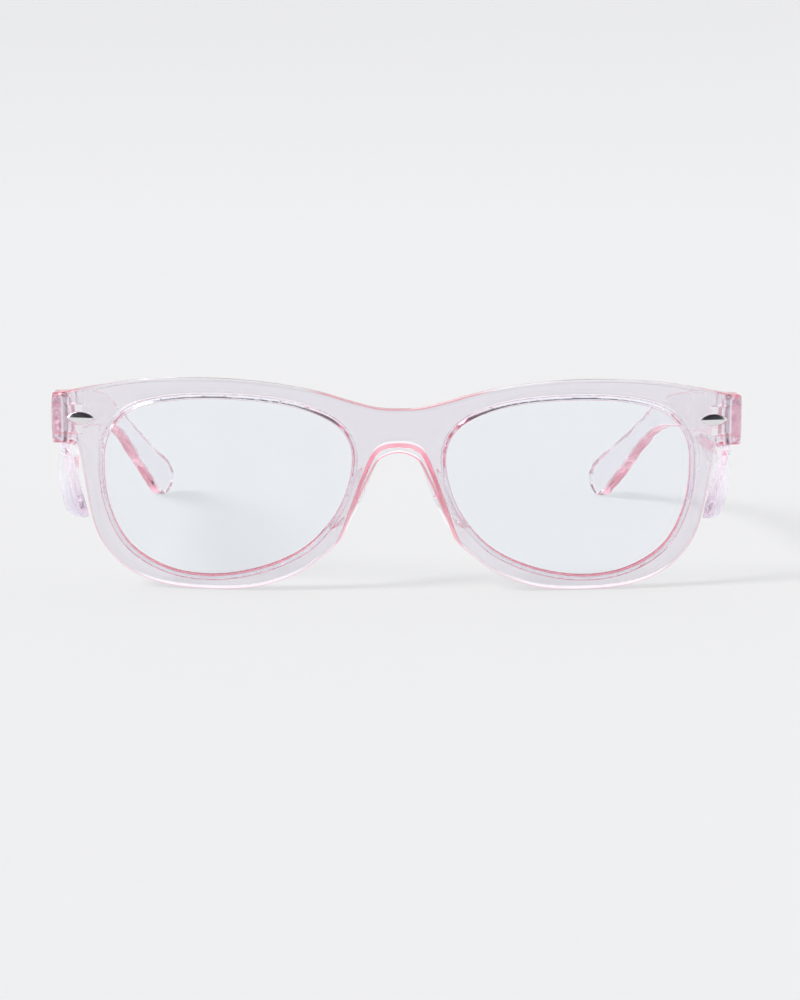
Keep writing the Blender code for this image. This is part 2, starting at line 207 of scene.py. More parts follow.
OPENING = [
    (0.0630, 0.0255), (0.0620, 0.0326), (0.0570, 0.0381), (0.0474, 0.0405), (0.0350, 0.0408),
    (0.0230, 0.0395), (0.0142, 0.0361), (0.0104, 0.0312), (0.0104, 0.0245), (0.0134, 0.0167),
    (0.0195, 0.0095), (0.0285, 0.0050), (0.0390, 0.0030), (0.0490, 0.0042), (0.0573, 0.0090),
    (0.0617, 0.0168),
]
# Temple and shield side views as (distance back from FRONT_Y, z)
TEMPLE_OUTLINE = [
    (TEMPLE_START, 0.0414), (0.0340, 0.0401), (0.0600, 0.0376), (0.0870, 0.0342),
    (0.0980, 0.0321), (0.1080, 0.0289), (0.1180, 0.0246), (0.1280, 0.0200), (0.1370, 0.0159),
    (0.1450, 0.0122), (0.1500, 0.0096), (0.1532, 0.0072), (0.1545, 0.0047), (0.1540, 0.0024),
    (0.1520, 0.0007), (0.1493, 0.0000), (0.1464, 0.0008), (0.1420, 0.0034), (0.1350, 0.0080),
    (0.1250, 0.0143), (0.1160, 0.0193), (0.1070, 0.0227), (0.0940, 0.0252),
    (0.0600, 0.0283), (0.0340, 0.0299), (TEMPLE_START, 0.0310),
]
SHIELD_OUTLINE = [
    (0.0146, 0.0297), (0.0200, 0.0303), (0.0380, 0.0292), (0.0570, 0.0280), (0.0592, 0.0268),
    (0.0575, 0.0238), (0.0500, 0.0187), (0.0420, 0.0151), (0.0330, 0.0137), (0.0220, 0.0135),
    (0.0155, 0.0136), (0.0139, 0.0148), (0.0138, 0.0205), (0.0140, 0.0270),
]

# The boxes that the pieces' fields are sampled in: ends, and margins round a piece
FRONT_BOX_BACK = 0.0125
FRONT_BOX_TOP = 0.0462
TEMPLE_BOX_AHEAD = 0.0035
TEMPLE_BOX_END = 0.1556
TEMPLE_BOX_TOP = 0.0425
TEMPLE_BOX_INNER = 0.0022
SHIELD_BOX_END = 0.0602
SHIELD_BOX_TOP = 0.0330
RIVET_BOX_HALF_HEIGHT = 0.0016
WIDE_MARGIN = 0.0010
THIN_MARGIN = 0.0008
LENS_MARGIN = 0.0025
LENS_FACE_MARGIN = 0.0006
STEEL_MARGIN = 0.0003
SCREW_MARGIN = 0.0002

# How finely each piece's field is turned into a mesh: grid steps along its three numbers
FRONT_STEPS = (0.00028, 0.00017, 0.00028)
LENS_STEPS = (0.00045, 0.00020, 0.00045)
TEMPLE_STEPS = (0.00040, 0.00025, 0.00030)
SHIELD_STEPS = (0.00040, 0.00020, 0.00035)
SCREW_STEPS = (0.00007, 0.00007, 0.00006)
RIVET_STEPS = (0.00008, 0.00006, 0.00006)
# Outline maps: their grid step, the room round the outline, and how far short of the last
# grid line a place is held
MAP_STEP = 0.00012
MAP_MARGIN = 0.004
MAP_LAST = 1.001
# Mesh points: the span that slopes are taken over, the pull towards a cell's middle, how many
# cells a point may lie from it, and how far a point moves when it settles on the surface
SLOPE_STEP = 0.00002
STEADINESS = 0.08
POINT_REACH = 0.7
SETTLE_LIMIT = 0.0001
SHARP_ANGLE = math.radians(50)
TINY = 1e-12


# ---------------------------------------------------------------- outlines and fields

def smooth(points, steps=10, closed=True):
    """Points along a Catmull-Rom curve through the given ones, steps to each stretch."""
    count = len(points)
    curve = []
    for i in range(count if closed else count - 1):
        around = [i - 1, i, i + 1, i + 2]
        if closed:
            around = [k % count for k in around]
        else:
            around = [min(max(k, 0), count - 1) for k in around]
        a, b, c, d = (np.array(points[k]) for k in around)
        for step in range(steps):
            t = step / steps
            bend = (2 * a - 5 * b + 4 * c - d) * t * t + (3 * (b - c) + d - a) * t ** 3
            curve.append(b + ((c - a) * t + bend) / 2)
    return np.array(curve if closed else curve + [np.array(points[-1])])


def outline_field(outline):
    """A closed outline's signed distance, as a function of two coordinates.

    The distances are worked out once on a fine grid and then read between its points.
    """
    low = outline.min(0) - MAP_MARGIN
    high = outline.max(0) + MAP_MARGIN
    u, v = (np.arange(a, b, MAP_STEP) for a, b in zip(low, high))
    uu, vv = np.meshgrid(u, v, indexing="ij")
    nearest = np.full(uu.shape, np.inf)
    inside = np.zeros(uu.shape, bool)
    for a, b in zip(outline, np.roll(outline, -1, axis=0)):
        along = b - a
        length = max(along @ along, TINY)
        t = np.clip(((uu - a[0]) * along[0] + (vv - a[1]) * along[1]) / length, 0, 1)
        away = (uu - a[0] - t * along[0]) ** 2 + (vv - a[1] - t * along[1]) ** 2
        nearest = np.minimum(nearest, away)
        if a[1] != b[1]:
            crosses = (a[1] > vv) != (b[1] > vv)
            inside ^= crosses & (uu < a[0] + (vv - a[1]) * along[0] / along[1])
    table = np.where(inside, -1, 1) * np.sqrt(nearest)

    def distance(first, second):
        at = [np.clip((value - start) / MAP_STEP, 0, count - MAP_LAST)
              for value, start, count in zip((first, second), low, table.shape)]
        i, j = (value.astype(int) for value in at)
        p, q = (value - value.astype(int) for value in at)
        near = table[i, j] * (1 - p) + table[i + 1, j] * p
        far = table[i, j + 1] * (1 - p) + table[i + 1, j + 1] * p
        return near * (1 - q) + far * q
    return distance


def both(a, b, radius=0.0):
    """Inside both fields, with the edge between them rounded."""
    corner = np.hypot(np.maximum(a + radius, 0), np.maximum(b + radius, 0))
    return np.minimum(np.maximum(a, b), -radius) + corner


def either(a, b, radius=0.0):
    """Inside either field, with a fillet where they meet."""
    return -both(-a, -b, radius)


def cut(a, b, radius=0.0):
    """Inside a and outside b."""
    return both(a, -b, radius)


def between(values, low, high):
    """Distance into or out of a slab between two values."""
    return np.maximum(low - values, values - high)


# ---------------------------------------------------------------- from fields to meshes

def slope(field, points):
    """The field's direction of steepest rise at each point, one unit long."""
    rise = np.empty_like(points)
    for axis in range(3):
        step = np.zeros(3)
        step[axis] = SLOPE_STEP
        rise[:, axis] = field(*(points + step).T) - field(*(points - step).T)
    return rise / np.maximum(np.linalg.norm(rise, axis=1), TINY)[:, None]


def surface(field, axes):
    """Points and four-sided faces of the field's zero surface.

    Each grid cell that the surface crosses gets one point, where the planes through the
    crossings on its sides meet, so that sharp edges stay sharp.
    """
    values = field(axes[0][:, None, None], axes[1][None, :, None], axes[2][None, None, :])
    inside = values < 0
    shape = [n - 1 for n in values.shape]
    start = np.array([axis[0] for axis in axes])
    spacing = np.array([axis[1] - axis[0] for axis in axes])
    crossings = []
    normals = []
    quads = []
    for axis in range(3):
        unit = np.eye(3, dtype=int)[axis]
        lower = tuple(slice(0, -1) if k == axis else slice(None) for k in range(3))
        upper = tuple(slice(1, None) if k == axis else slice(None) for k in range(3))
        at = np.argwhere(inside[lower] != inside[upper])
        near = values[tuple(at.T)]
        far = values[tuple((at + unit).T)]
        share = near / (near - far)
        points = start + (at + share[:, None] * unit) * spacing
        crossings.append(points)
        normals.append(slope(field, points))
        side = np.eye(3, dtype=int)[[(axis + 1) % 3, (axis + 2) % 3]]
        quad = np.column_stack([
            np.ravel_multi_index((at - j * side[0] - k * side[1]).T, shape)
            for j, k in ((0, 0), (1, 0), (1, 1), (0, 1))])
        quads.append(np.where((near < 0)[:, None], quad, quad[:, ::-1]))
    crossings = np.concatenate(crossings)
    normals = np.concatenate(normals)
    cells, faces = np.unique(np.concatenate(quads), return_inverse=True)
    faces = faces.reshape(-1, 4)

    count = len(cells)
    owner = faces.ravel()
    points = np.repeat(crossings, 4, axis=0)
    directions = np.repeat(normals, 4, axis=0)

    def gather(weights):
        return np.bincount(owner, weights=weights, minlength=count)

    number = gather(np.ones(len(owner)))
    middle = np.column_stack([gather(points[:, k]) / number for k in range(3)])
    reach = np.einsum("ij,ij->i", directions, points - middle[owner])
    matrix = np.empty((count, 3, 3))
    target = np.empty((count, 3))
    for row in range(3):
        target[:, row] = gather(directions[:, row] * reach)
        for column in range(3):
            matrix[:, row, column] = gather(directions[:, row] * directions[:, column])
    matrix += np.eye(3) * STEADINESS
    offset = np.linalg.solve(matrix, target[:, :, None])[:, :, 0]
    return middle + np.clip(offset, -POINT_REACH * spacing, POINT_REACH * spacing), faces


def settle(field, points):
    """Move each point straight onto the field's zero surface."""
    rise = slope(field, points)
    away = np.clip(field(*points.T), -SETTLE_LIMIT, SETTLE_LIMIT)
    return points - away[:, None] * rise


def build(name, field, low, high, steps, place, mirrored=False):
    """A closed mesh from a field, with place turning its three numbers into a point."""
    axes = [np.arange(a, b + step, step) for a, b, step in zip(low, high, steps)]
    points, faces = surface(field, axes)
    points = settle(field, points)
    points = np.array(place(*points.T)).T
    if mirrored:
        faces = faces[:, ::-1]
    mesh = bpy.data.meshes.new(name)
    mesh.vertices.add(len(points))
    mesh.vertices.foreach_set("co", points.astype(np.float32).ravel())
    mesh.loops.add(faces.size)
    mesh.loops.foreach_set("vertex_index", faces.astype(np.int32).ravel())
    mesh.polygons.add(len(faces))
    mesh.polygons.foreach_set("loop_start", np.arange(0, faces.size, 4, dtype=np.int32))
    mesh.update(calc_edges=True)
    mesh.validate()
    mesh.shade_smooth()
    mesh.set_sharp_from_angle(angle=SHARP_ANGLE)
    obj = bpy.data.objects.new(name, mesh)
    bpy.context.scene.collection.objects.link(obj)
    return obj


def finish_piece(obj, material, body, node, slot):
    """Give a piece its material and body, and hide the CAD node that it stands in for.

    Only steel is seen by the floor's indirect light, and lenses and shields cast no shadow:
    the light that clear plastic lets through to the floor would otherwise be lost.
    """
    obj.data.materials.append(material)
    obj.visible_diffuse = slot == "steel"
    obj.visible_shadow = slot in ("steel", "pink_frame")
    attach(obj, body)
    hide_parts(node)


# ---------------------------------------------------------------- places

def on_front(x, depth, z):
    """A point at a depth behind the front's outer face."""
    return np.array([x, FRONT_Y + x * x / (2 * FRONT_RADIUS) + depth, z])


def temple_place(side):
    """A temple runs straight back, then bows in and grows thinner."""
    def place(back, depth, z):
        past = np.maximum(back - TEMPLE_STRAIGHT, 0.0)
        thin = 1 - TEMPLE_THINNING * np.minimum(past / TEMPLE_THIN_LENGTH, 1.0)
        outer = OUTER_X - TEMPLE_BOW * past * past
        return np.array([side * (outer - depth * thin), FRONT_Y + back, z])
    return place


def shield_place(side):
    """A shield leans in to the rim at its front edge and bulges out behind it."""
    def place(back, depth, z):
        down = np.clip((SHIELD_TOP - z) / (SHIELD_TOP - SHIELD_BOTTOM), 0.0, 1.0)
        body = SHIELD_X + SHIELD_BULGE * np.sin(math.pi * down)
        front = SHIELD_FRONT_X - SHIELD_FRONT_LEAN * down
        along = np.clip((back - SHIELD_FRONT) / SHIELD_BLEND, 0.0, 1.0)
        share = np.sin(math.pi / 2 * along)
        return np.array([side * (front + (body - front) * share - depth), FRONT_Y + back, z])
    return place


def hinge_place(side):
    """Straight coordinates about the hinge, turned over for the other side."""
    def place(x, back, z):
        return np.array([side * x, FRONT_Y + back, z])
    return place


# ---------------------------------------------------------------- pieces

def almond(grow_by=0.0, count=96):
    """An oval outline with a point at each end, at the rivet's place."""
    turn = np.arange(count) * 2 * math.pi / count
    rise = np.sin(turn) * np.sqrt(np.abs(np.sin(turn)))
    return np.column_stack([
        RIVET_X + np.cos(turn) * (RIVET_HALF_LENGTH + grow_by),
        RIVET_Z + rise * (RIVET_HALF_HEIGHT + grow_by)])


def two_sided(half):
    """A closed outline from the half that starts and ends on x = 0."""
    return np.concatenate([half, (half * (-1, 1))[-2:0:-1]])


def lug_field(x, back, z):
    """The corner block behind the front, rounded about the hinge on its inner side."""
    plan = both(
        between(x, HINGE_X - LUG_RADIUS, OUTER_X),
        between(back, HINGE_BACK - LUG_ROOT, HINGE_BACK + LUG_RADIUS))
    corner = np.hypot(np.minimum(x - HINGE_X, 0), np.maximum(back - HINGE_BACK, 0)) - LUG_RADIUS
    return both(np.maximum(plan, corner), between(z, LUG_BOTTOM, LUG_TOP), LUG_EDGE)


def hinge_cuts(x, back, z):
    """The slot for the temple's tongue, and the screw's hole with a seat for its head."""
    slot = np.maximum(between(z, SLOT_BOTTOM, SLOT_TOP), HINGE_BACK - SLOT_DEPTH - back)
    slot = np.maximum(slot, SLOT_INNER_X - x)
    from_axis = np.hypot(x - HINGE_X, back - HINGE_BACK)
    bore = np.maximum(from_axis - BORE_RADIUS, LUG_BOTTOM - BORE_PAST - z)
    seat = np.maximum(from_axis - SEAT_RADIUS, SEAT_BOTTOM - z)
    return np.minimum(slot, np.minimum(bore, seat))


def with_pad(body, rear, x, depth, z):
    """The body with a nose pad: the arch's flank carried on backwards, longest half way down.

    From its crest the pad slopes down to the rim's back on the side of the lens.
    """
    flank = rear - PAD_LEAN * (depth - FRONT_THICKNESS)
    along = np.clip((z - PAD_Z) / PAD_HALF_LENGTH, -1, 1)
    height = PAD_REACH * np.cos(along * math.pi / 2) ** PAD_CROWN
    down = np.clip(-flank / PAD_WIDTH, 0, 1)
    reach = FRONT_THICKNESS - PAD_ROOT + (height + PAD_ROOT) * (1 - down ** PAD_CROWN)
    steepness = PAD_CROWN * (height + PAD_ROOT) / PAD_WIDTH
    slope_side = (depth - reach) / np.sqrt(1 + steepness ** 2)
    pad = both(flank, np.maximum(slope_side, FRONT_THICKNESS / 2 - depth), PAD_EDGE)
    return np.minimum(body, np.maximum(pad, x - PAD_X_END))


def front_field():
    """The whole front: rims, bridge, pads and lugs, with everything that is cut out of it."""
    face = outline_field(two_sided(smooth(FRONT_OUTLINE + ARCH_FRONT, closed=False)))
    rear = outline_field(two_sided(smooth(FRONT_OUTLINE + ARCH_REAR, closed=False)))
    opening = outline_field(smooth(OPENING))
    pocket = outline_field(almond(RIVET_GAP))

    def field(x, depth, z):
        x = np.abs(x)
        back = depth + x * x / (2 * FRONT_RADIUS)
        face_here = face(x, z)
        rear_here = rear(x, z)
        opening_here = opening(x, z)
        share = np.clip(depth / FRONT_THICKNESS, 0, 1)
        body = both(
            face_here + (rear_here - face_here) * share,
            between(depth, 0, FRONT_THICKNESS), FRONT_EDGE)
        body = with_pad(body, rear_here, x, depth, z)
        body = either(body, lug_field(x, back, z), LUG_FILLET)

        flare = np.clip((depth - GROOVE_END) / (FRONT_THICKNESS - GROOVE_END), 0, 1)
        outward = (np.clip((x - BEVEL_FROM_X) / BEVEL_OVER_X, 0, 1)
                   * np.clip((z - BEVEL_FROM_Z) / BEVEL_OVER_Z, 0, 1))
        bend = np.maximum(flare - REAR_BEVEL_START, 0) / (1 - REAR_BEVEL_START)
        chamfer = REAR_CHAMFER * flare + REAR_BEVEL * outward * bend ** 2
        body = cut(body, opening_here - chamfer, LIP_EDGE)
        groove = both(opening_here - GROOVE_REACH, between(depth, LIP_DEPTH, GROOVE_END))
        body = cut(body, groove)

        body = cut(body, hinge_cuts(x, back, z))
        body = cut(body, np.maximum(pocket(x, z), depth - RIVET_POCKET))
        peg = np.hypot(x - RIVET_X, z - RIVET_Z) - PEG_RADIUS - PEG_GAP
        return cut(body, np.maximum(peg, depth - PEG_DEPTH - PEG_GAP))
    return field


def make_front(material):
    reach = OUTER_X + WIDE_MARGIN
    low = (-reach, -WIDE_MARGIN, -WIDE_MARGIN)
    high = (reach, FRONT_BOX_BACK, FRONT_BOX_TOP)
    front = build("front", front_field(), low, high, FRONT_STEPS, on_front)
    finish_piece(front, material, "front", "front_frame", "pink_frame")


def make_lens(side, name, material):
    outline = smooth(OPENING)
    opening = outline_field(outline)

    def field(x, depth, z):
        edge = opening(side * x, z) - LENS_REACH
        return both(edge, between(depth, LENS_FRONT, LENS_BACK), LENS_EDGE)

    start = outline.min(0) - LENS_MARGIN
    end = outline.max(0) + LENS_MARGIN
    ends = sorted((side * start[0], side * end[0]))
    low = (ends[0], LENS_FRONT - LENS_FACE_MARGIN, start[1])
    high = (ends[1], LENS_BACK + LENS_FACE_MARGIN, end[1])
    piece = build("lens_piece_" + name, field, low, high, LENS_STEPS, on_front)
    finish_piece(piece, material, "front", "lens_" + name, "lens")


def rail_field(back, depth, z, gap):
    """The rail on a shield's top edge, or with a gap the groove that it sits in."""
    top = RAIL_TOP - (back - RAIL_START) * RAIL_FALL
    long = np.maximum(between(back, RAIL_START, RAIL_END), between(z, RAIL_BOTTOM, top))
    across = between(depth, RAIL_INSET, SHIELD_THICKNESS - RAIL_INSET)
    return both(long, across, RAIL_EDGE) - gap


def temple_field():
    """A temple with its hinge tongue, the screw's hole and the groove for the shield's rail."""
    side_view = outline_field(smooth(TEMPLE_OUTLINE, closed=False))
    axis_depth = OUTER_X - HINGE_X

    def field(back, depth, z):
        temple = both(side_view(back, z), between(depth, 0, TEMPLE_THICKNESS), TEMPLE_EDGE)
        from_axis = np.hypot(depth - axis_depth, back - HINGE_BACK)
        bar = np.maximum(
            between(depth, 0, axis_depth), between(back, HINGE_BACK - TONGUE_RADIUS, TONGUE_END))
        root = np.maximum(
            between(depth, 0, TEMPLE_THICKNESS), between(back, HINGE_BACK, TONGUE_END))
        plan = np.minimum(np.minimum(from_axis - TONGUE_RADIUS, bar), root)
        height = between(z, SLOT_BOTTOM + TONGUE_GAP, SLOT_TOP - TONGUE_GAP)
        temple = either(temple, both(plan, height, TONGUE_EDGE), TONGUE_FILLET)
        temple = cut(temple, np.maximum(from_axis - BORE_RADIUS, LUG_BOTTOM - z))
        down = np.clip((SHIELD_TOP - z) / (SHIELD_TOP - SHIELD_BOTTOM), 0, 1)
        shield_x = SHIELD_X + SHIELD_BULGE * np.sin(math.pi * down)
        return cut(temple, rail_field(back, depth - (OUTER_X - shield_x), z, RAIL_GAP))
    return field


def make_temple(side, name, material):
    low = (HINGE_BACK - TEMPLE_BOX_AHEAD, -THIN_MARGIN, -WIDE_MARGIN)
    high = (TEMPLE_BOX_END, TEMPLE_THICKNESS + TEMPLE_BOX_INNER, TEMPLE_BOX_TOP)
    piece = build(
        "temple_piece_" + name, temple_field(), low, high, TEMPLE_STEPS, temple_place(side),
        mirrored=side < 0)
    finish_piece(piece, material, "temple_" + name, "temple_" + name, "pink_frame")


def make_shield(side, name, material):
    outline = outline_field(smooth(SHIELD_OUTLINE))

    def field(back, depth, z):
        panel = both(outline(back, z), between(depth, 0, SHIELD_THICKNESS), SHIELD_EDGE)
        return either(panel, rail_field(back, depth, z, 0.0), RAIL_FILLET)

    low = (SHIELD_FRONT - WIDE_MARGIN, -THIN_MARGIN, SHIELD_BOTTOM - WIDE_MARGIN)
    high = (SHIELD_BOX_END, SHIELD_THICKNESS + THIN_MARGIN, SHIELD_BOX_TOP)
    piece = build(
        "shield_piece_" + name, field, low, high, SHIELD_STEPS, shield_place(side),
        mirrored=side < 0)
    finish_piece(piece, material, "temple_" + name, "side_shield_" + name, "shield")


def screw_field(x, back, z):
    """A threaded screw with a slotted head."""
    away = np.hypot(x - HINGE_X, back - HINGE_BACK)
    turn = np.arctan2(back - HINGE_BACK, x - HINGE_X) / (2 * math.pi)
    phase = (z / THREAD_PITCH - turn) % 1.0
    thread = THREAD_DEPTH * np.abs(2 * phase - 1) * (z < THREAD_TOP)
    shank = both(
        away - SCREW_RADIUS + thread, between(z, SCREW_BOTTOM, SCREW_SHANK_TOP),
        SCREW_SHANK_EDGE)
    head = both(
        away - SCREW_HEAD_RADIUS, between(z, SCREW_HEAD_SEAT, SCREW_TOP), SCREW_HEAD_EDGE)
    slot = np.maximum(np.abs(x - HINGE_X) - DRIVER_SLOT / 2, SCREW_TOP - DRIVER_SLOT - z)
    return cut(either(shank, head, SCREW_FILLET), slot)


def make_screw(side, name, material):
    reach = SCREW_HEAD_RADIUS + SCREW_MARGIN
    low = (HINGE_X - reach, HINGE_BACK - reach, SCREW_BOTTOM - STEEL_MARGIN)
    high = (HINGE_X + reach, HINGE_BACK + reach, SCREW_TOP + SCREW_MARGIN)
    piece = build(
        "screw_piece_" + name, screw_field, low, high, SCREW_STEPS, hinge_place(side),
        mirrored=side < 0)
    finish_piece(piece, material, "front", "hinge_screw_" + name, "steel")


def make_rivet(side, name, material):
    """A polished almond cap with a crowned top, on a round peg."""
    outline = outline_field(almond())

    def field(x, depth, z):
        x = side * x
        out = outline(x, z)
        along = (x - RIVET_X) / RIVET_HALF_LENGTH
        taper = np.clip(1 - along ** 2, RIVET_TAPER_LEAST, 1) ** RIVET_TAPER
        across = np.clip(np.abs(z - RIVET_Z) / (RIVET_HALF_HEIGHT * taper), 0, 1)
        fall = RIVET_FALL * np.hypot(across, RIVET_CREST_WIDTH)
        crown = RIVET_PROUD * np.sqrt(taper) * (RIVET_CREST - fall)
        cap = both(out, np.maximum(-crown - depth, depth - RIVET_SUNK), RIVET_EDGE)
        shaft = np.maximum(
            np.hypot(x - RIVET_X, z - RIVET_Z) - PEG_RADIUS, between(depth, 0, PEG_DEPTH))
        return either(cap, shaft)

    ends = sorted(
        side * (RIVET_X + end * (RIVET_HALF_LENGTH + STEEL_MARGIN)) for end in (-1, 1))
    low = (ends[0], -RIVET_PROUD - STEEL_MARGIN, RIVET_Z - RIVET_BOX_HALF_HEIGHT)
    high = (ends[1], PEG_DEPTH + STEEL_MARGIN, RIVET_Z + RIVET_BOX_HALF_HEIGHT)
    piece = build("rivet_piece_" + name, field, low, high, RIVET_STEPS, on_front)
    finish_piece(piece, material, "front", "rivet_" + name, "steel")


# ---------------------------------------------------------------- materials

# Clear plastics: two tints that clouds mix, the roughness that wear gives, and what the
# thickness absorbs. Noise scales are per metre.
PLASTIC_IOR = 1.50
FRONT_TINTS = ((0.890, 0.880, 0.920), (0.880, 0.870, 0.920))
TEMPLE_TINTS = ((0.955, 0.925, 0.950), (0.950, 0.920, 0.950))
LENS_TINTS = ((0.93, 0.965, 1.00), (0.94, 0.97, 1.00))
SHIELD_TINTS = ((0.965, 0.97, 0.99), (0.955, 0.965, 0.99))
MOULDED_WEAR = (0.0, 0.03)
LENS_WEAR = (0.0, 0.02)
PINK_ABSORBED = (0.98, 0.90, 0.93)
FRONT_DENSITY = 60.0
TEMPLE_DENSITY = 18.0
SHIELD_ABSORBED = (0.96, 0.95, 0.99)
SHIELD_DENSITY = 20.0
CLOUD_SCALE = 90.0
CLOUD_DETAIL = 3.0
CLOUD_RANGE = (0.35, 0.65)
WEAR_SCALE = 900.0
WEAR_DETAIL = 4.0
RIPPLE_SCALE = 160.0
RIPPLE_DETAIL = 2.0
RIPPLE_STRENGTH = 0.25
RIPPLE_HEIGHT = 0.00008
NOISE_RANGE = (0.3, 0.7)

# Where the tints begin and end: the front's edge and groove by depth, then the hinge corners,
# the outer top edge, the pads, the temples and the shields. The edge pinks are painted shade,
# and the groove's white is painted light.
FACE_CLEAR = 0.0004
GROOVE_WHITE = 0.0008
GROOVE_WHITE_END = 0.0040
REAR_CLEAR = 0.0044
CORNER_START = 0.0655
CORNER_END = 0.0700
TOP_EDGE = 0.0422
TOP_EDGE_CLEAR = 0.0434
PAD_TINT = 0.0042
PAD_CLEAR = 0.0050
TEMPLE_CLEAR = 0.050
TEMPLE_TINT = 0.078
SHIELD_TINT_TOP = 0.0235
SHIELD_TINT_FULL = 0.0150
# painted light: white on the front's groove walls, so the band round each lens stays pale
PAINTED_GROOVE_LIGHT = (1.0, 1.0, 1.0)
# painted shade: deep pink on the front's edges, for the darker colour that light gathers on long
# paths through them
PAINTED_EDGE_SHADE = (0.80, 0.08, 0.15)
# painted shade: pink on the temples' upper and lower edges, for the deeper colour light gathers
# along them
PAINTED_TEMPLE_EDGE_SHADE = (0.97, 0.34, 0.45)
FOOT_LAVENDER = (0.84, 0.78, 0.91)

# How far a surface faces along an axis, from none of a tint to all of it
ALONG = (0.25, 0.85)
TURNED_AWAY = (0.84, 0.50)

STEEL_COLOURS = ((0.76, 0.75, 0.75), (0.90, 0.90, 0.91))
STEEL_ROUGHNESS = (0.10, 0.24)
STEEL_SCALE = 2500.0
STEEL_DETAIL = 5.0
PAPER_COLOURS = ((0.885, 0.886, 0.886), (0.895, 0.896, 0.896))
PAPER_ROUGHNESS = (0.85, 0.95)
PAPER_SCALE = 14.0
PAPER_DETAIL = 4.0


def new_material(name):
    material = bpy.data.materials.new(name)
    material.use_nodes = True
    nodes = material.node_tree.nodes
    return material, nodes, material.node_tree.links, nodes["Principled BSDF"]


def noise(nodes, links, scale, detail):
    """A noise texture's value, fixed to the piece."""
    place = nodes.new("ShaderNodeTexCoord")
    texture = nodes.new("ShaderNodeTexNoise")
    texture.inputs["Scale"].default_value = scale
    texture.inputs["Detail"].default_value = detail
    links.new(place.outputs["Object"], texture.inputs["Vector"])
    return texture.outputs["Fac"]


def spread(nodes, links, value, ends, target):
    """Drive a socket with a texture's value, from the first end to the second."""
    span = nodes.new("ShaderNodeMapRange")
    span.inputs["From Min"].default_value = NOISE_RANGE[0]
    span.inputs["From Max"].default_value = NOISE_RANGE[1]
    span.inputs["To Min"].default_value = ends[0]
    span.inputs["To Max"].default_value = ends[1]
    links.new(value, span.inputs["Value"])
    links.new(span.outputs["Result"], target)


def blend(nodes, links, value, colours, ends=(0.0, 1.0)):
    """The first colour, turning into the second as the value goes between the ends."""
    ramp = nodes.new("ShaderNodeValToRGB")
    for stop, colour, end in zip(ramp.color_ramp.elements, colours, ends):
        stop.position = end
        stop.color = (*colour, 1.0)
    links.new(value, ramp.inputs["Fac"])
    return ramp.outputs["Color"]


def clear_plastic(name, tints, roughness, absorbed=None, density=0.0, shade=None):
    """Clear moulded plastic: a faint cloudiness, flow ripples and fine wear in its polish.

    The shade function, when there is one, changes the colour from place to place: on the front it
    paints shade and light, on the temples shade.
    """
    material, nodes, links, shader = new_material(name)
    shader.inputs["Transmission Weight"].default_value = 1.0
    shader.inputs["IOR"].default_value = PLASTIC_IOR
    cloud = noise(nodes, links, CLOUD_SCALE, CLOUD_DETAIL)
    colour = blend(nodes, links, cloud, tints, CLOUD_RANGE)
    if shade:
        colour = shade(nodes, links, colour)
    links.new(colour, shader.inputs["Base Color"])
    wear = noise(nodes, links, WEAR_SCALE, WEAR_DETAIL)
    spread(nodes, links, wear, roughness, shader.inputs["Roughness"])
    ripple = noise(nodes, links, RIPPLE_SCALE, RIPPLE_DETAIL)
    bump = nodes.new("ShaderNodeBump")
    bump.inputs["Strength"].default_value = RIPPLE_STRENGTH
    bump.inputs["Distance"].default_value = RIPPLE_HEIGHT
    links.new(ripple, bump.inputs["Height"])
    links.new(bump.outputs["Normal"], shader.inputs["Normal"])
    if absorbed:
        volume = nodes.new("ShaderNodeVolumeAbsorption")
        volume.inputs["Color"].default_value = (*absorbed, 1.0)
        volume.inputs["Density"].default_value = density
        links.new(volume.outputs["Volume"], nodes["Material Output"].inputs["Volume"])
    return material


def spanned(nodes, links, value, start, end):
    """A value's place between two others, from 0 to 1, with an easy start and end."""
    span = nodes.new("ShaderNodeMapRange")
    span.interpolation_type = "SMOOTHSTEP"
    span.inputs["From Min"].default_value = start
    span.inputs["From Max"].default_value = end
    links.new(value, span.inputs["Value"])
    return span.outputs["Result"]


def coordinate(nodes, links, kind, axis, unsigned=True):
    """One part of the surface's normal or place, in the piece's own frame."""
    place = nodes.new("ShaderNodeTexCoord")
    parts = nodes.new("ShaderNodeSeparateXYZ")
    links.new(place.outputs[kind], parts.inputs["Vector"])
    if not unsigned:
        return parts.outputs[axis]
    size = nodes.new("ShaderNodeMath")
    size.operation = "ABSOLUTE"
    links.new(parts.outputs[axis], size.inputs[0])
    return size.outputs["Value"]


def worked(nodes, links, operation, *terms):
    """The result of one operation on sockets and plain numbers."""
    node = nodes.new("ShaderNodeMath")
    node.operation = operation
    for place, term in zip(node.inputs, terms):
        if isinstance(term, float):
            place.default_value = term
        else:
            links.new(term, place)
    return node.outputs["Value"]


def mixed(nodes, links, share, first, second):
    """The first colour, turning into the second as the share rises."""
    mix = nodes.new("ShaderNodeMix")
    mix.data_type = "RGBA"
    links.new(share, mix.inputs["Factor"])
    links.new(first, mix.inputs["A"])
    mix.inputs["B"].default_value = (*second, 1.0)
    return mix.outputs["Result"]


